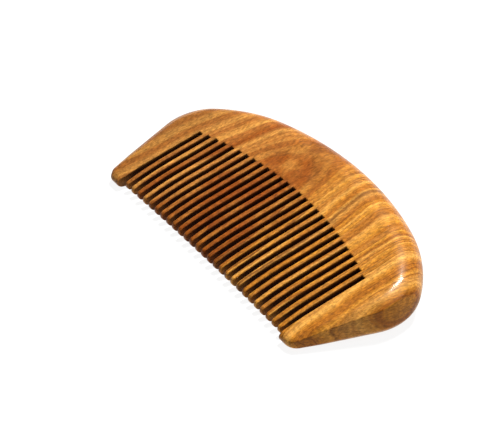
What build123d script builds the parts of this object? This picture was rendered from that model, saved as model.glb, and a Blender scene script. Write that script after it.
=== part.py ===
from build123d import *
from collections import namedtuple
from math import cos, radians, sin, sqrt, tan
import os

# Half-moon hair comb cut from one blank of wood, lying on its flat underside.
#
# +X runs along the comb, +Y from the tooth tips to the back, +Z up. The origin is
# on the surface that the comb lies on, under the centre of its bounding box.
#
# The two broad faces are planes that meet, extended, in a line in front of the
# teeth: the wedge line. The outline below is drawn half way between them, and
# every thickness grows with the distance from that line.

# Driving dimensions: lengths in mm, angles in degrees.
TOOTH_COUNT = 27
TOOTH_PITCH = 2.8
SLOT_WIDTH = 1.45
WEDGE_ANGLE = 14.6
WEDGE_LINE_GAP = 12.9  # from the wedge line to the front of the guard teeth
COMB_WIDTH = 49.4  # front of the guard teeth to the top of the back
CENTRE_SHIFT = 24.73  # from the front of the guard teeth to the origin

# Outline of the back, as tangent arcs. Each angle is that of the outward
# normal, measured from +Y, where one arc hands over to the next.
BACK_RADIUS = 104.0
BACK_END_ANGLE = 16.0
FLANK_RADIUS = 43.5
FLANK_END_ANGLE = 43.3
SHOULDER_RADIUS = 14.0
END_FACE_ANGLE = 107.2
GUARD_TIP_RADIUS = 3.4

# The slots end on one arc and the teeth on another.
ROOT_RADIUS = 136.0
ROOT_HEIGHT = 29.9  # at the middle, from the front of the guard teeth
TIP_RADIUS = 1000.0
TIP_HEIGHT = 2.0

# Towards the tips both broad faces are eased off by a further angle.
BEVEL_START = 21.0  # from the wedge line, along each face
TOOTH_BEVEL = 8.0
GUARD_BEVEL = 3.5

EDGE_RADIUS = 0.3  # along the teeth and the guards
ROUNDING_STEP = 15  # between the lofted sections of the rounded rim

# Values that follow from them.
TOOTH_WIDTH = TOOTH_PITCH - SLOT_WIDTH
SLOT_COUNT = TOOTH_COUNT + 1
MIDDLE_SLOT = SLOT_COUNT // 2
FRONT_Y = -CENTRE_SHIFT
WEDGE_LINE_Y = FRONT_Y - WEDGE_LINE_GAP
HALF_WEDGE = radians(WEDGE_ANGLE / 2)
REACH = 2 * COMB_WIDTH  # further than the comb goes in any direction

RimArc = namedtuple("RimArc", "centre radius start end")


def normal_at(angle):
    """Outward normal of the outline at an angle from +Y."""
    return Vector(sin(radians(angle)), cos(radians(angle)))


def rim_arcs():
    """The right half of the outline: back, flank, shoulder and guard tip."""
    back_centre = Vector(0, FRONT_Y + COMB_WIDTH - BACK_RADIUS)
    flank_centre = back_centre + normal_at(BACK_END_ANGLE) * (BACK_RADIUS - FLANK_RADIUS)
    shoulder_centre = flank_centre + normal_at(FLANK_END_ANGLE) * (FLANK_RADIUS - SHOULDER_RADIUS)
    end_normal = normal_at(END_FACE_ANGLE)
    end_slope = end_normal.X / end_normal.Y
    above_tip = shoulder_centre + end_normal * (SHOULDER_RADIUS - GUARD_TIP_RADIUS)
    tip_y = FRONT_Y + GUARD_TIP_RADIUS
    tip_centre = Vector(above_tip.X + (above_tip.Y - tip_y) / end_slope, tip_y)
    return [
        RimArc(back_centre, BACK_RADIUS, 0, BACK_END_ANGLE),
        RimArc(flank_centre, FLANK_RADIUS, BACK_END_ANGLE, FLANK_END_ANGLE),
        RimArc(shoulder_centre, SHOULDER_RADIUS, FLANK_END_ANGLE, END_FACE_ANGLE),
        RimArc(tip_centre, GUARD_TIP_RADIUS, END_FACE_ANGLE, 180),
    ]


def section_point(arc, angle, inset):
    """A point of the outline moved in by a share of the half thickness there."""
    normal = normal_at(angle)
    rim = arc.centre + normal * arc.radius
    half_thickness = (rim.Y - WEDGE_LINE_Y) * tan(HALF_WEDGE)
    moved = rim - normal * half_thickness * inset
    return Vector(moved.X, (moved.Y - WEDGE_LINE_Y) / cos(HALF_WEDGE))


def mirrored(point):
    return Vector(-point.X, point.Y)


def rim_section(rounding):
    """The blank's outline on the plane that the rim's round reaches at this angle.

    At 0 degrees it is the full outline, half way between the broad faces. At
    -90 and 90 degrees it is the edge of the flat underside and of the flat top.
    """
    inset = 1 - cos(radians(rounding))
    tilt = HALF_WEDGE * (1 + sin(radians(rounding)))
    plane = Plane((0, WEDGE_LINE_Y, 0), x_dir=(1, 0, 0), z_dir=(0, -sin(tilt), cos(tilt)))
    half = [
        [section_point(arc, angle, inset) for angle in (arc.start, (arc.start + arc.end) / 2, arc.end)]
        for arc in rim_arcs()
    ]
    back, flank, shoulder, tip = half
    with BuildSketch(plane) as section:
        with BuildLine():
            ThreePointArc(mirrored(back[2]), back[0], back[2])
            for span in (flank, shoulder, tip):
                ThreePointArc(*span)
                ThreePointArc(*[mirrored(point) for point in span])
            Line(shoulder[2], tip[0])
            Line(mirrored(shoulder[2]), mirrored(tip[0]))
            Line(tip[2], mirrored(tip[2]))
        make_face()
    return section.sketch


def slot_x(slot):
    """Middle of a slot, counted from 0 at the -X end."""
    return (slot - (SLOT_COUNT - 1) / 2) * TOOTH_PITCH


def root_y(slot):
    """Where a slot ends, square to its length."""
    return FRONT_Y + ROOT_HEIGHT - ROOT_RADIUS + sqrt(ROOT_RADIUS**2 - slot_x(slot) ** 2)


def tip_y(x):
    """Where a tooth at this place along the comb ends."""
    return FRONT_Y + TIP_HEIGHT - TIP_RADIUS + sqrt(TIP_RADIUS**2 - x**2)


def root_steps():
    """The stepped line of the roots: each step stands on a slot's outer wall."""
    left = []
    for slot in range(1, MIDDLE_SLOT):
        wall = slot_x(slot) - SLOT_WIDTH / 2
        left += [(wall, root_y(slot - 1)), (wall, root_y(slot))]
    return left + [(-x, y) for x, y in reversed(left)]


def side_point(distance, angle, start=0.0):
    """A point seen from the side, at an angle off the underside.

    The distance is counted from a place on the mid plane, which is the wedge
    line unless a start is given.
    """
    y = WEDGE_LINE_Y + start * cos(HALF_WEDGE) + distance * cos(angle)
    return (y, start * sin(HALF_WEDGE) + distance * sin(angle))


def bevel_apex(bevel):
    """How far from the wedge line the two bevelled faces would meet."""
    return BEVEL_START * (cos(HALF_WEDGE) - sin(HALF_WEDGE) / tan(HALF_WEDGE + radians(bevel)))


def tooth_profile(x, root):
    """A tooth from the side: wedge, bevels, and a round end tangent to both bevels."""
    tip_distance = (tip_y(x) - WEDGE_LINE_Y) / cos(HALF_WEDGE)
    apex = bevel_apex(TOOTH_BEVEL)
    low_angle, high_angle = -radians(TOOTH_BEVEL), 2 * HALF_WEDGE + radians(TOOTH_BEVEL)
    half_angle = (high_angle - low_angle) / 2
    tangent_distance = (tip_distance - apex) / (1 - sin(half_angle)) * cos(half_angle)
    low_tangent = side_point(tangent_distance, low_angle, apex)
    high_tangent = side_point(tangent_distance, high_angle, apex)
    top_root = (root, (root - WEDGE_LINE_Y) * tan(2 * HALF_WEDGE))
    with BuildSketch(Plane.YZ.offset(x - TOOTH_WIDTH / 2)) as profile:
        with BuildLine():
            Polyline((root, 0), side_point(BEVEL_START, 0), low_tangent)
            ThreePointArc(low_tangent, side_point(tip_distance, HALF_WEDGE), high_tangent)
            Polyline(high_tangent, side_point(BEVEL_START, 2 * HALF_WEDGE), top_root, (root, 0))
        make_face()
    return profile.sketch


def write(node, label):
    node.label = label
    export_step(node, f"parts/{label}.step")


def build_blank():
    """The whole comb before it is slotted, with its full-round rim and eased-off front."""
    with BuildPart() as blank:
        loft([rim_section(rounding) for rounding in range(-90, 91, ROUNDING_STEP)])
        apex = bevel_apex(GUARD_BEVEL)
        with BuildSketch(Plane.YZ.offset(-REACH)):
            with BuildLine():
                Polyline(
                    side_point(0, 0, apex),
                    side_point(REACH, -radians(GUARD_BEVEL), apex),
                    side_point(REACH, 2 * HALF_WEDGE + radians(GUARD_BEVEL), apex),
                    close=True,
                )
            make_face()
        extrude(amount=2 * REACH, mode=Mode.INTERSECT)
    return blank.part


def build_back(blank):
    """The half-moon back, down to the roots."""
    outer_root = root_y(0)
    with BuildPart() as back:
        add(blank)
        with BuildSketch(Plane.XY.offset(-REACH / 2)):
            with BuildLine():
                corners = [(-REACH, -REACH), (-REACH, outer_root)]
                corners += root_steps()
                corners += [(REACH, outer_root), (REACH, -REACH)]
                Polyline(*corners, close=True)
            make_face()
        extrude(amount=REACH, mode=Mode.SUBTRACT)
    write(back.part, "back")


def build_guard_tooth(blank, side, label):
    """The solid tooth at one end: side is -1 for the -X end, 1 for the +X end."""
    inner_x = side * (slot_x(SLOT_COUNT - 1) + SLOT_WIDTH / 2)
    with BuildPart() as guard:
        add(blank)
        with BuildSketch(Plane.XY.offset(-REACH / 2)):
            with Locations((inner_x, root_y(0))):
                corner = (Align.MIN if side > 0 else Align.MAX, Align.MAX)
                Rectangle(REACH, REACH, align=corner)
        extrude(amount=REACH, mode=Mode.INTERSECT)
        inner_face = guard.faces().filter_by(Axis.X).sort_by(Axis.X)[0 if side > 0 else -1]
        root_face = guard.faces().sort_by(Axis.Y)[-1]
        fillet(inner_face.edges() - root_face.edges(), EDGE_RADIUS)
    write(guard.part, label)


def build_tooth(number):
    """One slim tooth, numbered from 1 at the -X end, with eased edges."""
    x = slot_x(number - 1) + TOOTH_PITCH / 2
    root = min(root_y(number - 1), root_y(number))
    with BuildPart() as tooth:
        extrude(tooth_profile(x, root), amount=TOOTH_WIDTH)
        root_face = tooth.faces().sort_by(Axis.Y)[-1]
        side_edges = tooth.faces().filter_by(Axis.X).edges()
        fillet(side_edges - root_face.edges(), EDGE_RADIUS)
    write(tooth.part, f"tooth_{number:02d}")


os.makedirs("parts", exist_ok=True)
comb_blank = build_blank()
build_back(comb_blank)
build_guard_tooth(comb_blank, -1, "guard_tooth_left")
build_guard_tooth(comb_blank, 1, "guard_tooth_right")
for tooth_number in range(1, TOOTH_COUNT + 1):
    build_tooth(tooth_number)
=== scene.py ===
import math
from collections import namedtuple

import bmesh
import bpy
import numpy as np
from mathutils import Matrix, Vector


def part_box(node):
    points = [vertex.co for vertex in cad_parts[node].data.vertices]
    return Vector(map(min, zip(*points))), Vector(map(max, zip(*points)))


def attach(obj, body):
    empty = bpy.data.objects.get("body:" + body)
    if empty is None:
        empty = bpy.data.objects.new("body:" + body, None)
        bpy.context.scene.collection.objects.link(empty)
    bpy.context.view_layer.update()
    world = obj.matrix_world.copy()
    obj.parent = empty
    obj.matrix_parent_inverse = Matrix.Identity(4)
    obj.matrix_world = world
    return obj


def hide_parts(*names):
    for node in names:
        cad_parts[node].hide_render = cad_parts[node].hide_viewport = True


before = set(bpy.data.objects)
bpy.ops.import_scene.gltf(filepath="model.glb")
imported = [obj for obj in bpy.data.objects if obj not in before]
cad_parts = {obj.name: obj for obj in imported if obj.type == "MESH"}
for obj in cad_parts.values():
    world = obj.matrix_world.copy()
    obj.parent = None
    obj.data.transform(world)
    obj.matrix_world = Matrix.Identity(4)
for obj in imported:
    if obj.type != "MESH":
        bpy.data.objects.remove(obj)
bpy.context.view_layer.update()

# Half-moon wooden comb on a white studio floor.
#
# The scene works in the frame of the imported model: +X along the comb, +Y from the
# tooth tips to the back, +Z up from the flat underside. Shapes are worked out in
# millimetres and turned into metres when a mesh is made.

MM = 0.001

# The comb's outline and section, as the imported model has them. Angles of the
# outline's outward normal are in degrees from +Y, the other angles in radians.
WEDGE_ANGLE = math.radians(14.6)  # between the broad faces
HALF_WEDGE = WEDGE_ANGLE / 2
WEDGE_LINE_GAP = 12.9  # from where the broad faces meet to the guards' front
COMB_WIDTH = 49.4
BACK_RADIUS = 104.0
BACK_END = 16.0
FLANK_RADIUS = 43.5
FLANK_END = 43.3
SHOULDER_RADIUS = 14.0
END_FACE = 107.2
GUARD_TIP_RADIUS = 3.4
BEVEL_START = 21.0  # from the wedge line, along each broad face
TOOTH_BEVEL = math.radians(8.0)
GUARD_BEVEL = math.radians(3.5)
EDGE_RADIUS = 0.3

# Where a tooth's broad faces start to curve into its bevels, from the wedge line.
EASE_START = 27.0

# The ridge sanded along the comb's two ends, as angles in degrees round the rim's
# section, 90 being the edge of the top face. The controls shape the crown above it
# and the side below it, as shares of the half thickness inwards and upwards.
CREASE_ANGLE = 45
CREASE_LOW_ANGLE = -25
CROWN_CONTROL = (0.78, 1.0)
SIDE_CONTROL = (0.09, 0.1)

# Normal angles of the outline where the ridge starts, is full, weakens and ends.
CREASE_FROM, CREASE_FULL = 46.0, 76.0
CREASE_FADE, CREASE_END = 125.0, 165.0

# How finely the meshes follow the shapes. The angles round the rim, in degrees, lie
# closer beside the ridge. Those round an eased edge are in radians.
ARC_POINTS = 200
OUTLINE_STEP = 0.05
RIM_ANGLES = [*range(-90, 41, 5), 43, 45, 47, *range(50, 91, 5)]
EASE_ANGLES = np.radians(np.linspace(0, 90, 5))
EASE_POINTS = 7
NOSE_POINTS = 15
BACK_STATIONS = 130
GUARD_STATIONS = 60
BEVEL_STATION = 50  # of a guard's rim: the one where the bevel starts
WELD_DISTANCE = 0.002
LARGE_FACE_WEIGHT = 80  # when normals are averaged: 50 counts all faces alike

# How late on a round-over the slot walls' dark colour sets in; that colour is partly the saw's own and
# partly painted shade.
SAWN_POWER = 4


def node_box(name):
    """A CAD node's lowest and highest corner in millimetres."""
    low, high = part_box(name)
    return np.array(low) / MM, np.array(high) / MM


TEETH = sorted(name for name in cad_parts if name.startswith("tooth_"))
TOOTH_BOXES = [node_box(name) for name in TEETH]
FRONT_Y = node_box("guard_tooth_right")[0][1]
WEDGE_LINE_Y = FRONT_Y - WEDGE_LINE_GAP

# Where each tooth joins the back, and where the guard teeth do.
ROOT_LEVELS = [high[1] for low, high in TOOTH_BOXES]
SEAM_Y = ROOT_LEVELS[0]

# The x of every slot's two walls, from the -X end to the +X end.
WALLS = [node_box("guard_tooth_left")[1][0]]
for low, high in TOOTH_BOXES:
    WALLS += [low[0], high[0]]
WALLS.append(node_box("guard_tooth_right")[0][0])
SLOTS = list(zip(WALLS[0::2], WALLS[1::2]))


# ---- lines and sections ----


def normal_at(angle):
    """Outward normal of the outline at an angle in degrees from +Y."""
    return np.stack([np.sin(np.radians(angle)), np.cos(np.radians(angle))], -1)


def lengths_along(points):
    """How far each point is from the first, along the line through them."""
    return np.concatenate([[0], np.cumsum(np.linalg.norm(np.diff(points, axis=0), axis=1))])


def right_outline():
    """The outline from the middle of the back to the front: x, y and normal angle."""
    back = np.array([0, FRONT_Y + COMB_WIDTH - BACK_RADIUS])
    flank = back + normal_at(BACK_END) * (BACK_RADIUS - FLANK_RADIUS)
    shoulder = flank + normal_at(FLANK_END) * (FLANK_RADIUS - SHOULDER_RADIUS)
    end_normal = normal_at(END_FACE)
    above = shoulder + end_normal * (SHOULDER_RADIUS - GUARD_TIP_RADIUS)
    drop = above[1] - FRONT_Y - GUARD_TIP_RADIUS
    tip = np.array([above[0] + drop * end_normal[1] / end_normal[0], above[1] - drop])
    arcs = [
        (back, BACK_RADIUS, 0, BACK_END),
        (flank, FLANK_RADIUS, BACK_END, FLANK_END),
        (shoulder, SHOULDER_RADIUS, FLANK_END, END_FACE),
        (tip, GUARD_TIP_RADIUS, END_FACE, 180),
    ]
    angles = [np.linspace(start, end, ARC_POINTS) for _, _, start, end in arcs]
    points = [centre + radius * normal_at(a) for (centre, radius, _, _), a in zip(arcs, angles)]
    points = np.concatenate(points + [[(0, FRONT_Y)]])
    angles = np.concatenate(angles + [[180]])
    along = lengths_along(points)
    steps = np.arange(0, along[-1], OUTLINE_STEP)
    return [np.interp(steps, along, column) for column in (points[:, 0], points[:, 1], angles)]


OUTLINE_X, OUTLINE_Y, OUTLINE_ANGLE = right_outline()


def bezier(start, control, end, share):
    """A point of a curve with one control point, a share of the way along it."""
    from_start = start + (control - start) * share
    from_control = control + (end - control) * share
    return from_start + (from_control - from_start) * share


def smooth_step(low, high, value):
    share = np.clip((value - low) / (high - low), 0, 1)
    return share * share * (3 - 2 * share)


def round_section(angle):
    """A full round: how far in and how high, as shares of the half thickness."""
    turn = math.radians(angle)
    return np.array([1 - math.cos(turn), math.sin(turn)])


def creased_section(angle):
    """The sanded ends' section instead: a shallow crown, a ridge, then a flatter side."""
    ridge = round_section(CREASE_ANGLE)
    if angle >= CREASE_ANGLE:
        share = (90 - angle) / (90 - CREASE_ANGLE)
        return bezier(np.array([1.0, 1.0]), np.array(CROWN_CONTROL), ridge, share)
    if angle >= CREASE_LOW_ANGLE:
        share = (CREASE_ANGLE - angle) / (CREASE_ANGLE - CREASE_LOW_ANGLE)
        return bezier(ridge, np.array(SIDE_CONTROL), round_section(CREASE_LOW_ANGLE), share)
    return round_section(angle)


def right_ring(rim_angle):
    """One line along the rim's round, from the middle of the back to the front."""
    crease = smooth_step(CREASE_FROM, CREASE_FULL, OUTLINE_ANGLE)
    crease = crease * (1 - smooth_step(CREASE_FADE, CREASE_END, OUTLINE_ANGLE))
    inset, level = (
        plain + (creased - plain) * crease
        for plain, creased in zip(round_section(rim_angle), creased_section(rim_angle))
    )
    half_thickness = (OUTLINE_Y - WEDGE_LINE_Y) * math.tan(HALF_WEDGE)
    normal = normal_at(OUTLINE_ANGLE)
    x = OUTLINE_X - normal[:, 0] * half_thickness * inset
    y = OUTLINE_Y - normal[:, 1] * half_thickness * inset
    distance = (y - WEDGE_LINE_Y) / math.cos(HALF_WEDGE)
    tilt = HALF_WEDGE * (1 + level)
    return np.stack([x, WEDGE_LINE_Y + distance * np.cos(tilt), distance * np.sin(tilt)], -1)


def cut_after(curve, axis, limit):
    """The curve up to where a falling coordinate passes a limit, and the rest."""
    i = int(np.argmax(curve[:, axis] < limit))
    before, after = curve[i - 1], curve[i]
    share = (before[axis] - limit) / (before[axis] - after[axis])
    cut = before + (after - before) * share
    cut[axis] = limit
    return np.concatenate([curve[:i], [cut]]), np.concatenate([[cut], curve[i:]])


def spaced(curve, count):
    """The same curve with evenly spaced points."""
    along = lengths_along(curve)
    steps = np.linspace(0, along[-1], count)
    even = np.stack([np.interp(steps, along, curve[:, k]) for k in range(3)], -1)
    even[0], even[-1] = curve[0], curve[-1]
    return even


def mirrored(points, side):
    """The points as they are for side 1, and at the other end for side -1."""
    return np.asarray(points) * (side, 1, 1)


def top_z(y):
    """Height of the top face, before the bevels."""
    return (y - WEDGE_LINE_Y) * math.tan(WEDGE_ANGLE)


def side_point(distance, angle):
    """A point seen from the side: its distance from the wedge line and its angle off the floor."""
    return np.stack([WEDGE_LINE_Y + distance * np.cos(angle), distance * np.sin(angle)], -1)


def bevel_apex(bevel):
    """How far from the wedge line the two bevelled faces would meet."""
    slope = math.tan(HALF_WEDGE + bevel)
    return BEVEL_START * (math.cos(HALF_WEDGE) - math.sin(HALF_WEDGE) / slope)


# ---- meshes ----


class Skin:
    """Collects patches that meet point to point and welds them into one closed mesh."""

    def __init__(self):
        self.mesh = bmesh.new()
        self.sawn = self.mesh.verts.layers.float.new("sawn")

    def vertex(self, point, sawn):
        vertex = self.mesh.verts.new(Vector(point) * MM)
        vertex[self.sawn] = float(sawn)
        return vertex

    def grid(self, rows, sawn=0.0):
        """A patch of quads; sawn is one value, or one for each row."""
        sawn = np.broadcast_to(sawn, len(rows))
        placed = [[self.vertex(point, value) for point in row] for row, value in zip(rows, sawn)]
        for near, far in zip(placed, placed[1:]):
            for k in range(len(near) - 1):
                self.mesh.faces.new((near[k], near[k + 1], far[k + 1], far[k]))

    def polygon(self, points, sawn=0.0):
        self.mesh.faces.new([self.vertex(point, sawn) for point in points])

    def close(self):
        """Welds the patches and closes the faces that meet the next piece."""
        weld = WELD_DISTANCE * MM
        bmesh.ops.remove_doubles(self.mesh, verts=self.mesh.verts, dist=weld)
        bmesh.ops.dissolve_degenerate(self.mesh, edges=self.mesh.edges, dist=weld)
        open_edges = [edge for edge in self.mesh.edges if edge.is_boundary]
        caps = bmesh.ops.holes_fill(self.mesh, edges=open_edges, sides=0)["faces"]
        bmesh.ops.recalc_face_normals(self.mesh, faces=self.mesh.faces)
        for face in self.mesh.faces:
            face.smooth = True
        for cap in caps:
            for edge in cap.edges:
                edge.smooth = False

    def finish(self, node):
        """Makes the piece that stands for a CAD node."""
        self.close()
        name = node + "_wood"
        data = bpy.data.meshes.new(name)
        self.mesh.to_mesh(data)
        self.mesh.free()
        piece = bpy.data.objects.new(name, data)
        bpy.context.collection.objects.link(piece)
        weighted = piece.modifiers.new("normals", "WEIGHTED_NORMAL")
        weighted.keep_sharp = True
        weighted.weight = LARGE_FACE_WEIGHT
        data.materials.append(wood)
        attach(piece, "root")
        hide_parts(node)


def side_profile(points, offset):
    """A side view's outline, as (y, z) points, moved in along its normals.

    Its two ends lie on the root plane and stay there.
    """
    points = np.asarray(points, float)
    ahead = np.gradient(points, axis=0)
    normals = np.stack([ahead[:, 1], -ahead[:, 0]], -1)
    normals /= np.linalg.norm(normals, axis=1)[:, None]
    moved = points - normals * offset
    moved[0] = points[0] - (0, offset / math.cos(WEDGE_ANGLE))
    moved[-1] = points[-1] + (0, offset)
    return moved


def sawn_share(ease):
    """How much of the slot walls' dark colour, partly the saw's own and partly painted shade, a
    round-over has, from the flat skin to the wall.
    """
    return math.sin(ease) ** SAWN_POWER


def eased_rows(profile, x_flat, x_wall):
    """Rows that round a side view's edge over, from the flat skin to the wall."""
    rows, sawn = [], []
    for ease in EASE_ANGLES:
        moved = side_profile(profile, EDGE_RADIUS * (1 - math.cos(ease)))
        x = x_flat + (x_wall - x_flat) * math.sin(ease)
        rows.append(np.insert(moved, 0, x, axis=1))
        sawn.append(sawn_share(ease))
    return rows, sawn


def eased_face(angle, nose_end):
    """A broad face, at an angle off the floor, as it curves into its bevel and meets the nose."""
    shares = np.linspace(0, 1, EASE_POINTS)[:-1, None]
    return bezier(side_point(EASE_START, angle), side_point(BEVEL_START, angle), nose_end, shares)


def tooth_profile(tip_y, root_y):
    """A tooth from the side, from the top of its root round its tip to the bottom."""
    apex = bevel_apex(TOOTH_BEVEL)
    half = HALF_WEDGE + TOOTH_BEVEL
    # The node's box ends where the nose faces -Y, which is just above the mid plane.
    apex_y = WEDGE_LINE_Y + apex * math.cos(HALF_WEDGE)
    centre = (tip_y - apex_y) / (math.cos(HALF_WEDGE) - math.sin(half))
    middle = side_point(apex + centre, HALF_WEDGE)
    first_turn = math.pi / 2 + HALF_WEDGE + half
    last_turn = 3 * math.pi / 2 + HALF_WEDGE - half
    turns = np.linspace(first_turn, last_turn, NOSE_POINTS)
    nose = middle + centre * math.sin(half) * np.stack([np.cos(turns), np.sin(turns)], -1)
    top = eased_face(WEDGE_ANGLE, nose[0])
    low = eased_face(0.0, nose[-1])
    return np.concatenate([[(root_y, top_z(root_y))], top, nose, low[::-1], [(root_y, 0)]])


def build_tooth(node, low, high):
    profile = tooth_profile(low[1], high[1])
    left, left_sawn = eased_rows(profile, low[0] + EDGE_RADIUS, low[0])
    right, right_sawn = eased_rows(profile, high[0] - EDGE_RADIUS, high[0])
    skin = Skin()
    skin.grid(left[::-1] + right, left_sawn[::-1] + right_sawn)
    skin.polygon(left[-1], 1.0)
    skin.polygon(right[-1], 1.0)
    skin.finish(node)


def along_wedge(points):
    """How far points are from the wedge line, along the mid plane."""
    return (points[:, 1] - WEDGE_LINE_Y) * math.cos(HALF_WEDGE) + points[:, 2] * math.sin(HALF_WEDGE)


def thinned(points):
    """Draws a guard tooth in between its bevels by scaling its thickness."""
    along = along_wedge(points)
    off = points[:, 2] * math.cos(HALF_WEDGE) - (points[:, 1] - WEDGE_LINE_Y) * math.sin(HALF_WEDGE)
    half_between = (along - bevel_apex(GUARD_BEVEL)) * math.tan(HALF_WEDGE + GUARD_BEVEL)
    off = off * np.minimum(1, half_between / (along * math.tan(HALF_WEDGE)))
    y = along * math.cos(HALF_WEDGE) - off * math.sin(HALF_WEDGE)
    z = along * math.sin(HALF_WEDGE) + off * math.cos(HALF_WEDGE)
    return np.stack([points[:, 0], y + WEDGE_LINE_Y, z], -1)


def guard_row(ring, flat_x, side):
    """One line of a guard tooth's rim, from the seam round the tip to the inner edge."""
    below_seam = cut_after(ring, 1, SEAM_Y)[1]
    line = cut_after(below_seam, 0, flat_x)[0]
    marked = np.concatenate([line, along_wedge(line)[:, None]], axis=1)
    upper, lower = cut_after(marked, 3, BEVEL_START * math.cos(HALF_WEDGE))
    upper = spaced(upper[:, :3], BEVEL_STATION + 1)
    lower = spaced(lower[:, :3], GUARD_STATIONS)
    return mirrored(thinned(np.concatenate([upper, lower[1:]])), side)


def build_guard(node, side, wall_x, rings):
    """A guard tooth. It is worked out at the +X end, and mirrored for the other."""
    flat_x = abs(wall_x) + EDGE_RADIUS
    rows = [guard_row(ring, flat_x, side) for ring in rings]
    skin = Skin()
    skin.grid(rows)
    nose = [row[-1][1:] for row in rows[::-1]]
    ends = [[(SEAM_Y, top_z(SEAM_Y)), side_point(BEVEL_START, WEDGE_ANGLE)]]
    ends += [nose, [side_point(BEVEL_START, 0.0), (SEAM_Y, 0.0)]]
    profile = np.concatenate(ends)
    inner_edge = np.insert(profile, 0, side * flat_x, axis=1)
    for row, (seam, bend) in ((rows[-1], inner_edge[:2]), (rows[0], inner_edge[::-1][:2])):
        skin.polygon(np.concatenate([row[: BEVEL_STATION + 1], [bend, seam]]))
        skin.polygon(np.concatenate([row[BEVEL_STATION:], [bend]]))
    eased, sawn = eased_rows(profile, side * flat_x, wall_x)
    skin.grid(eased, sawn)
    skin.polygon(eased[-1], 1.0)
    skin.finish(node)


def slot_paths():
    """For each slot, its left wall, its right wall, its end and the roots beside it."""
    levels = [SEAM_Y] + ROOT_LEVELS + [SEAM_Y]
    for k, (left, right) in enumerate(SLOTS):
        before, after = levels[k], levels[k + 1]
        yield left, right, max(before, after), before, after


def slot_ring(path, ease):
    """The round-over of a slot's edge in the back: top line and bottom line."""
    left, right, end, before, after = path
    inset = EDGE_RADIUS * (1 - math.sin(ease))
    drop = EDGE_RADIUS * (1 - math.cos(ease))
    plan = [
        (left - inset, before),
        (left - inset, end + inset),
        (right + inset, end + inset),
        (right + inset, after),
    ]
    top = [(x, y, top_z(y) - drop / math.cos(WEDGE_ANGLE)) for x, y in plan]
    bottom = [(x, y, drop) for x, y in plan]
    return top, bottom


def build_back(rings):
    """The back: its rim from end to end, then each slot's end, then the broad faces."""
    rows = []
    for ring in rings:
        above_seam = spaced(cut_after(ring, 1, SEAM_Y)[0], BACK_STATIONS)
        rows.append(np.concatenate([mirrored(above_seam[:0:-1], -1), above_seam]))
    skin = Skin()
    skin.grid(rows)
    top_edge, bottom_edge = [], []
    for path in slot_paths():
        eased = [slot_ring(path, ease) for ease in EASE_ANGLES]
        sawn = [sawn_share(ease) for ease in EASE_ANGLES]
        skin.grid([top for top, bottom in eased], sawn)
        skin.grid([bottom for top, bottom in eased], sawn)
        skin.grid(eased[-1], 1.0)
        top_edge += eased[0][0]
        bottom_edge += eased[0][1]
    skin.polygon(np.concatenate([rows[-1], top_edge[::-1]]))
    skin.polygon(np.concatenate([rows[0], bottom_edge[::-1]]))
    skin.finish("back")


# ---- wood ----

# Linear colours of the wood's parts.
GOLD = (0.420, 0.166, 0.016, 1)
PALE_GOLD = (0.525, 0.250, 0.048, 1)
TAN = (0.370, 0.152, 0.030, 1)
RED_BROWN = (0.190, 0.040, 0.003, 1)
DARK_LINE = (0.090, 0.018, 0.002, 1)
# The slot walls' dark colour: partly the saw's own colour, partly painted shade.
SAWN_WALL_AND_SHADE = (0.032, 0.005, 0.001, 1)

# The rings are drawn round a tree heart below the comb, and the sloping top face
# cuts them as arches. The height over the heart is HEART_DEPTH at the wedge line and
# grows with y and z by these shares. On the top face they add up to nearly the rise
# of the face itself. Most of it comes from y, so that rings run steeply down the rim.
HEART_X = -8.5
HEART_DEPTH = 4.0
HEIGHT_FROM_Y = 0.2
HEIGHT_FROM_Z = 0.23
DRIFT_AMOUNT = 9.0  # mm by which rings wander slowly
WAVER_AMOUNT = 1.4  # mm by which they waver over a shorter way

# The arch fills the rings up to these radii: fully, and not at all from there on.
ARCH_CORE, ARCH_EDGE = 16, 21.5

# Marks along one ring: its radius, and how far they reach to either side of it.
ARCH_BRIM = (18.5, 1.6)
LEFT_STREAK = (25.0, 2.0)
RIGHT_LINE = (28.0, 0.7)

# Places along the comb between which one tone goes over into the next.
TAN_END, GOLD_START = -30, 24
PALE_FAINT, PALE_CLEAR = -40, 20
LEFT_STREAK_START, LEFT_STREAK_FULL = -14, -22
RIGHT_LINE_START, RIGHT_LINE_FULL = 4, 12
RIGHT_END_START, RIGHT_END_FULL = 45, 51
LEFT_END_FULL, LEFT_END_START = -47, -30
LINES_FAINT, LINES_CLEAR = -26, 8
LINES_FADE, LINES_FADED = 44, 50

# Ripples of the growth bands and lines in each mm of ring radius.
PALE_BANDS = 0.27
DARK_BANDS = 0.42
GROWTH_LINES = 1.5

# Grains of each pattern in a mm along x, y and z. All are drawn out along y.
DRIFT = (0.045, 0.022, 0.08)
WAVER = (0.22, 0.05, 0.22)
CLOUDS = (0.16, 0.10, 0.16)
PATCHES = (0.10, 0.05, 0.10)
FIBRES = (3.4, 0.30, 3.4)
CURL = (1.3, 0.75, 1.3)
PORES = (7.0, 0.9, 7.0)
POLISH = (0.5, 0.25, 0.5)

# Sawn slot walls darken with painted shade: more with the depth below the broad faces, and more with
# the distance from the guards' front.
SHALLOW, DEEP = 0.15, 0.9
TIPS_END, TEETH_START = 1.5, 6

BUMP_DEPTH = 0.03

Grain = namedtuple("Grain", "place x y z ring")


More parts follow.
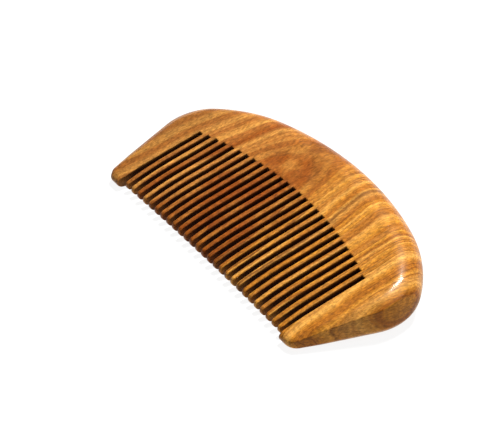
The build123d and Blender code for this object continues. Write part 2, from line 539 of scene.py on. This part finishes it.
class Graph:
    """Adds shader nodes to a material and links them by their sockets."""

    def __init__(self, material):
        self.tree = material.node_tree

    def add(self, kind, inputs, output=0, **settings):
        node = self.tree.nodes.new(kind)
        for name, value in settings.items():
            setattr(node, name, value)
        for name, value in inputs.items():
            if isinstance(value, bpy.types.NodeSocket):
                self.tree.links.new(value, node.inputs[name])
            else:
                node.inputs[name].default_value = value
        return node.outputs[output]

    def math(self, operation, first, second=0.0, third=0.0):
        return self.add("ShaderNodeMath", {0: first, 1: second, 2: third}, operation=operation)

    def times(self, first, second):
        return self.math("MULTIPLY", first, second)

    def stretch(self, vector, scale):
        """The vector with each of x, y and z multiplied by its own scale."""
        return self.add("ShaderNodeVectorMath", {0: vector, 1: scale}, operation="MULTIPLY")

    def noise(self, place, grains, detail=2.0, roughness=0.5):
        """A cloudy pattern with this many grains in a mm along x, y and z."""
        vector = self.stretch(place, grains)
        inputs = {"Vector": vector, "Scale": 1.0, "Detail": detail, "Roughness": roughness}
        return self.add("ShaderNodeTexNoise", inputs)

    def line_noise(self, distance, ripples, detail=2.0, roughness=0.5):
        """A pattern that only changes with a distance, with this many ripples in a mm."""
        inputs = {"W": distance, "Scale": ripples, "Detail": detail, "Roughness": roughness}
        return self.add("ShaderNodeTexNoise", inputs, noise_dimensions="1D")

    def span(self, value, low, high, to_low=0.0, to_high=1.0):
        """The value carried smoothly from one range to another, and held at its ends."""
        inputs = {0: value, 1: low, 2: high, 3: to_low, 4: to_high}
        return self.add("ShaderNodeMapRange", inputs, interpolation_type="SMOOTHSTEP")

    def blend(self, share, first, second):
        """A mix of two colours, whose sockets come after those for other data types."""
        return self.add("ShaderNodeMix", {0: share, 6: first, 7: second}, output=2, data_type="RGBA")

    def scaled(self, colour, amount):
        """A colour made lighter or darker by a varying amount."""
        return self.add("ShaderNodeVectorMath", {0: colour, "Scale": amount}, operation="SCALE")


def moved(graph, value, pattern, amount):
    """The value moved to and fro by a pattern, up to half the amount each way."""
    return graph.math("MULTIPLY_ADD", graph.math("SUBTRACT", pattern, 0.5), amount, value)


def make_grain(graph):
    """The place in mm, its x, y and z, and the distance from the tree's heart."""
    metres = graph.add("ShaderNodeTexCoord", {}, output="Object")
    place = graph.stretch(metres, (1 / MM, 1 / MM, 1 / MM))
    split = graph.tree.nodes.new("ShaderNodeSeparateXYZ")
    graph.tree.links.new(place, split.inputs[0])
    x, y, z = split.outputs
    bent = moved(graph, x, graph.noise(place, DRIFT, detail=1), DRIFT_AMOUNT)
    bent = moved(graph, bent, graph.noise(place, WAVER, detail=2), WAVER_AMOUNT)
    aside = graph.math("SUBTRACT", bent, HEART_X)
    at_origin = HEART_DEPTH - HEIGHT_FROM_Y * WEDGE_LINE_Y
    above = graph.math("MULTIPLY_ADD", y, HEIGHT_FROM_Y, at_origin)
    above = graph.math("MULTIPLY_ADD", z, HEIGHT_FROM_Z, above)
    squares = graph.math("MULTIPLY_ADD", aside, aside, graph.times(above, above))
    return Grain(place, x, y, z, graph.math("SQRT", squares))


def streak(graph, ring, radius, reach):
    """A soft line along one growth ring, up to its reach to either side."""
    away = graph.math("ABSOLUTE", graph.math("SUBTRACT", ring, radius))
    return graph.span(away, reach, 0.2 * reach)


def banded_colour(graph, grain):
    """Tan on the left and golden on the right, with pale and dark growth bands."""
    colour = graph.blend(graph.span(grain.x, TAN_END, GOLD_START), TAN, GOLD)
    pale = graph.span(graph.line_noise(grain.ring, PALE_BANDS, detail=3, roughness=0.6), 0.42, 0.66)
    pale = graph.times(pale, graph.span(grain.x, PALE_FAINT, PALE_CLEAR, 0.45, 0.95))
    colour = graph.blend(pale, colour, PALE_GOLD)
    dark = graph.span(graph.line_noise(grain.ring, DARK_BANDS, detail=2), 0.60, 0.40, 0.0, 0.55)
    return graph.blend(dark, colour, RED_BROWN)


def figured_colour(graph, grain, colour):
    """The red-brown arch with its darker brim, a streak on the left and a line on the right."""
    clouds = graph.noise(grain.place, CLOUDS, detail=2)
    arch = graph.span(grain.ring, ARCH_EDGE, ARCH_CORE)
    arch = graph.times(arch, graph.span(clouds, 0.32, 0.58, 0.55, 1.0))
    colour = graph.blend(graph.times(arch, 0.9), colour, RED_BROWN)
    brim = streak(graph, grain.ring, *ARCH_BRIM)
    brim = graph.times(brim, graph.span(clouds, 0.40, 0.60, 0.1, 0.5))
    colour = graph.blend(brim, colour, DARK_LINE)
    left = streak(graph, grain.ring, *LEFT_STREAK)
    left = graph.times(left, graph.span(grain.x, LEFT_STREAK_START, LEFT_STREAK_FULL, 0, 0.80))
    colour = graph.blend(left, colour, RED_BROWN)
    right = streak(graph, grain.ring, *RIGHT_LINE)
    right = graph.times(right, graph.span(grain.x, RIGHT_LINE_START, RIGHT_LINE_FULL, 0, 0.7))
    return graph.blend(right, colour, DARK_LINE)


def toned_ends(graph, grain, colour):
    """The comb's right end made redder, and its left end darker."""
    redder = graph.span(grain.x, RIGHT_END_START, RIGHT_END_FULL, 0, 0.3)
    colour = graph.blend(redder, colour, RED_BROWN)
    return graph.scaled(colour, graph.span(grain.x, LEFT_END_FULL, LEFT_END_START, 0.72, 1.0))


def fine_lines(graph, grain, colour):
    """Growth lines, fibres, curl and pores. The fibres and pores are given back too."""
    lines = graph.line_noise(grain.ring, GROWTH_LINES, detail=3, roughness=0.7)
    lines = graph.span(lines, 0.46, 0.32)
    where = graph.span(graph.noise(grain.place, PATCHES, detail=1), 0.36, 0.58, 0.15, 0.70)
    where = graph.times(where, graph.span(grain.x, LINES_FAINT, LINES_CLEAR, 0.35, 1.0))
    where = graph.times(where, graph.span(grain.x, LINES_FADE, LINES_FADED, 1.0, 0.35))
    colour = graph.blend(graph.times(lines, where), colour, DARK_LINE)
    fibres = graph.noise(grain.place, FIBRES, detail=3, roughness=0.62)
    colour = graph.scaled(colour, graph.span(fibres, 0.30, 0.70, 0.72, 1.28))
    curl = graph.noise(grain.place, CURL, detail=3, roughness=0.6)
    colour = graph.scaled(colour, graph.span(curl, 0.32, 0.68, 0.79, 1.21))
    pores = graph.span(graph.noise(grain.place, PORES, detail=1), 0.36, 0.27)
    return graph.blend(graph.times(pores, 0.6), colour, DARK_LINE), fibres, pores


def sawn_wall_and_painted_shade(graph, grain):
    """How dark the slots are painted: the saw's darker colour, deepened by painted shade that is less
    near the broad faces and the tooth tips.
    """
    slope = math.tan(WEDGE_ANGLE)
    top = graph.math("MULTIPLY_ADD", grain.y, slope, -WEDGE_LINE_Y * slope)
    inside = graph.math("MINIMUM", grain.z, graph.math("SUBTRACT", top, grain.z))
    dark = graph.span(inside, SHALLOW, DEEP, 0.35, 0.97)
    return graph.times(dark, graph.span(grain.y, FRONT_Y + TIPS_END, FRONT_Y + TEETH_START, 0.45, 1.0))


def wood_material():
    material = bpy.data.materials.new("wood")
    material.use_nodes = True
    graph = Graph(material)
    grain = make_grain(graph)
    colour = figured_colour(graph, grain, banded_colour(graph, grain))
    colour = toned_ends(graph, grain, colour)
    colour, fibres, pores = fine_lines(graph, grain, colour)
    sawn = graph.add("ShaderNodeAttribute", {}, output="Fac", attribute_name="sawn")
    # Slot walls darken towards this colour: partly the saw's own colour, and painted shade that
    # deepens down the slots.
    colour = graph.blend(graph.times(sawn, sawn_wall_and_painted_shade(graph, grain)), colour, SAWN_WALL_AND_SHADE)
    height = graph.math("SUBTRACT", graph.times(fibres, 0.35), pores)
    rough = graph.span(graph.noise(grain.place, POLISH, detail=3), 0.3, 0.7, 0.30, 0.46)
    rough = graph.math("ADD", rough, graph.times(sawn, 0.30))
    bump_inputs = {"Strength": 0.35, "Distance": BUMP_DEPTH * MM, "Height": height}
    bump = graph.add("ShaderNodeBump", bump_inputs)
    bsdf = material.node_tree.nodes["Principled BSDF"]
    for socket, value in (("Base Color", colour), ("Roughness", rough), ("Normal", bump)):
        material.node_tree.links.new(value, bsdf.inputs[socket])
    bsdf.inputs["Specular IOR Level"].default_value = 0.12
    bsdf.inputs["Specular Tint"].default_value = (1.0, 0.8, 0.55, 1)
    bsdf.inputs["Coat Weight"].default_value = 0.14
    bsdf.inputs["Coat Roughness"].default_value = 0.12
    return material


# ---- studio ----

# Distances in metres, angles in degrees: azimuth 0 stands at -Y, 90 at +X.
CAMERA_AZIMUTH = 58.308
CAMERA_ELEVATION = 33.855
CAMERA_LENS_MM = 199.6
CAMERA_SENSOR_MM = 36
CAMERA_DISTANCE = 0.7015
CAMERA_AIM = Vector((-12.2, -1.26, 0.0)) * MM
CAMERA_CLIP = (0.05, 20)

WORLD_STRENGTH = 0.20

# The floor is white mostly by its own glow, so that it takes almost no shadow.
FLOOR_REACH = 3.0
FLOOR_DROP = 0.02 * MM  # below the underside, so that the two never share a plane
FLOOR_GREY = 0.08
FLOOR_GLOW = 0.90


def direction(azimuth, elevation):
    """Unit vector from the comb towards a viewer."""
    a, e = math.radians(azimuth), math.radians(elevation)
    return Vector((math.sin(a) * math.cos(e), -math.cos(a) * math.cos(e), math.sin(e)))


def place_facing(thing, target, towards, distance):
    """Puts a camera or light at a distance from its target, and turns it to it."""
    bpy.context.collection.objects.link(thing)
    thing.location = target + towards * distance
    thing.rotation_mode = "QUATERNION"
    thing.rotation_quaternion = (-towards).to_track_quat("-Z", "Y")


def make_camera():
    camera = bpy.data.objects.new("camera", bpy.data.cameras.new("camera"))
    towards = direction(CAMERA_AZIMUTH, CAMERA_ELEVATION)
    place_facing(camera, CAMERA_AIM, towards, CAMERA_DISTANCE)
    camera.data.lens = CAMERA_LENS_MM
    camera.data.sensor_width = CAMERA_SENSOR_MM
    camera.data.clip_start, camera.data.clip_end = CAMERA_CLIP
    bpy.context.scene.camera = camera


def make_light(name, azimuth, elevation, distance, size, watts):
    light = bpy.data.objects.new(name, bpy.data.lights.new(name, "AREA"))
    place_facing(light, Vector((0, 0, 0)), direction(azimuth, elevation), distance)
    light.data.shape = "RECTANGLE"
    light.data.size, light.data.size_y = size
    light.data.energy = watts


def make_world():
    world = bpy.data.worlds.new("studio")
    world.use_nodes = True
    background = world.node_tree.nodes["Background"]
    background.inputs["Color"].default_value = (1, 1, 1, 1)
    background.inputs["Strength"].default_value = WORLD_STRENGTH
    bpy.context.scene.world = world
    bpy.context.scene.view_settings.view_transform = "Standard"


def make_floor():
    mesh = bpy.data.meshes.new("floor")
    r = FLOOR_REACH
    mesh.from_pydata([(-r, -r, 0), (r, -r, 0), (r, r, 0), (-r, r, 0)], [], [(0, 1, 2, 3)])
    floor = bpy.data.objects.new("floor", mesh)
    bpy.context.collection.objects.link(floor)
    floor.location.z = -FLOOR_DROP
    material = bpy.data.materials.new("floor")
    material.use_nodes = True
    bsdf = material.node_tree.nodes["Principled BSDF"]
    bsdf.inputs["Base Color"].default_value = (FLOOR_GREY, FLOOR_GREY, FLOOR_GREY, 1)
    bsdf.inputs["Roughness"].default_value = 0.9
    bsdf.inputs["Emission Color"].default_value = (1, 1, 1, 1)
    bsdf.inputs["Emission Strength"].default_value = FLOOR_GLOW
    mesh.materials.append(material)


make_camera()
make_world()
make_light("key", azimuth=207, elevation=62, distance=1.2, size=(0.22, 0.35), watts=32)
make_light("back_right", azimuth=145, elevation=42, distance=1.0, size=(0.08, 0.2), watts=1.5)
make_floor()
wood = wood_material()
rim_rings = [right_ring(angle) for angle in RIM_ANGLES]
build_back(rim_rings)
build_guard("guard_tooth_left", -1, WALLS[0], rim_rings)
build_guard("guard_tooth_right", 1, WALLS[-1], rim_rings)
for tooth, (low, high) in zip(TEETH, TOOTH_BOXES):
    build_tooth(tooth, low, high)
